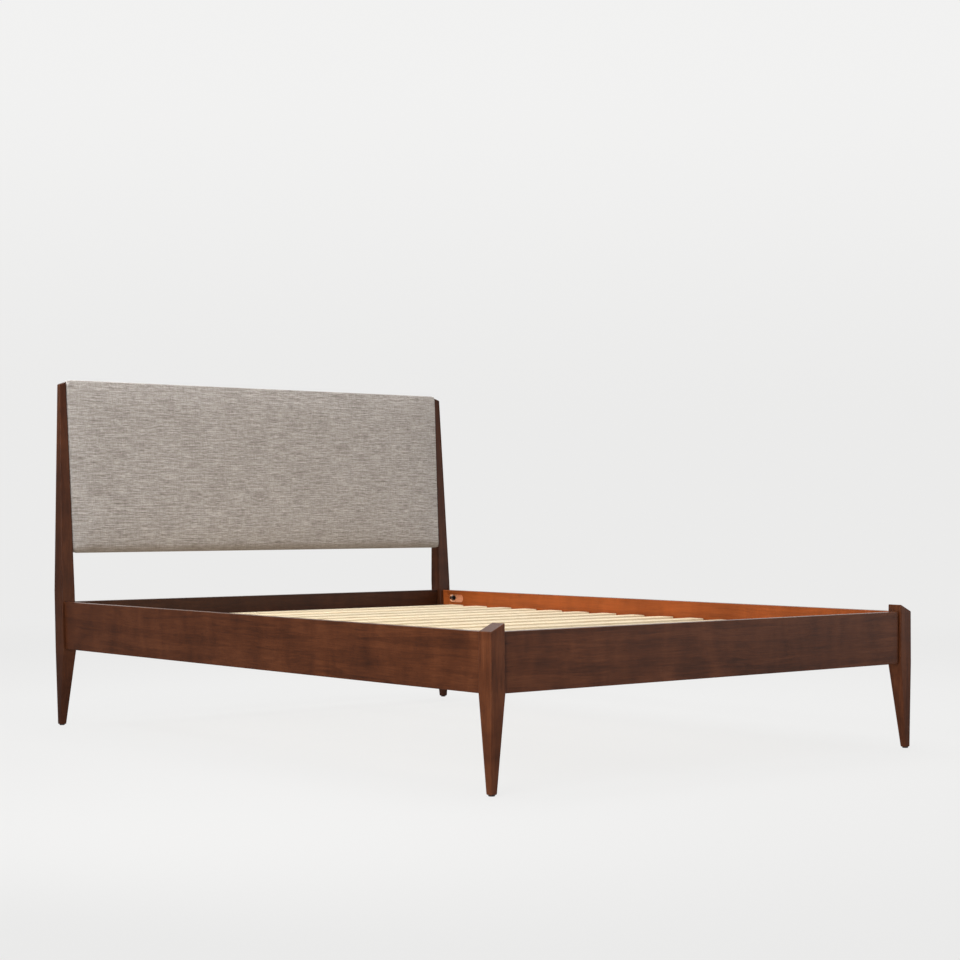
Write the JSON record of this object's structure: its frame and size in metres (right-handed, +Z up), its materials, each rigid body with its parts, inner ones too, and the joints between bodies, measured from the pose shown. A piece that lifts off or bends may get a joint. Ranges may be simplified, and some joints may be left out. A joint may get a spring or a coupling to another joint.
{
  "type": "bed frame",
  "caption": "Low wooden bed frame with tapered legs, bolted side rails, loose slats and an upholstered headboard between leaning posts.",
  "frame": {"origin": "on the floor, under the middle of the bed's outer box", "axes": "+Z up, +Y towards the headboard, +X to the right as seen from the foot"},
  "size_m": [1.631, 2.2336, 1.1329],
  "materials": {
    "stained_wood": "satin lacquer over walnut stain",
    "softwood": "planed, unfinished",
    "plywood": "raw plywood",
    "upholstery": "heathered slub weave",
    "dust_cloth": "matte non-woven cloth",
    "black_steel": "black oxide",
    "zinc_steel": "zinc plated",
    "glide_plastic": "dark matte plastic"
  },
  "bodies": {
    "root": {"head_post_left": "stained_wood", "foot_leg_left": "stained_wood", "side_rail_left": "stained_wood", "head_post_right": "stained_wood", "foot_leg_right": "stained_wood", "side_rail_right": "stained_wood", "foot_rail": "stained_wood", "head_rail": "stained_wood", "slat_cleat_left": "softwood", "slat_cleat_right": "softwood", "slat_01": "softwood", "slat_02": "softwood", "slat_03": "softwood", "slat_04": "softwood", "slat_05": "softwood", "slat_06": "softwood", "slat_07": "softwood", "slat_08": "softwood", "slat_09": "softwood", "slat_10": "softwood", "slat_11": "softwood", "slat_12": "softwood", "slat_13": "softwood", "slat_14": "softwood", "slat_15": "softwood", "centre_beam": "softwood", "beam_hanger_foot": "zinc_steel", "beam_hanger_head": "zinc_steel", "headboard_pad": "upholstery", "headboard_core": "plywood", "headboard_dust_cover": "dust_cloth", "headboard_dowel_left_lower": "zinc_steel", "headboard_dowel_left_upper": "zinc_steel", "headboard_dowel_right_lower": "zinc_steel", "headboard_dowel_right_upper": "zinc_steel", "bed_bolt_foot_left_lower": "black_steel", "half_moon_washer_foot_left_lower": "zinc_steel", "bed_bolt_foot_left_upper": "black_steel", "half_moon_washer_foot_left_upper": "zinc_steel", "bed_bolt_foot_right_lower": "black_steel", "half_moon_washer_foot_right_lower": "zinc_steel", "bed_bolt_foot_right_upper": "black_steel", "half_moon_washer_foot_right_upper": "zinc_steel", "bed_bolt_head_left_lower": "black_steel", "half_moon_washer_head_left_lower": "zinc_steel", "bed_bolt_head_left_upper": "black_steel", "half_moon_washer_head_left_upper": "zinc_steel", "bed_bolt_head_right_lower": "black_steel", "half_moon_washer_head_right_lower": "zinc_steel", "bed_bolt_head_right_upper": "black_steel", "half_moon_washer_head_right_upper": "zinc_steel", "floor_glide_foot_left": "glide_plastic", "floor_glide_foot_right": "glide_plastic", "floor_glide_head_left": "glide_plastic", "floor_glide_head_right": "glide_plastic"}
  },
  "joints": []
}
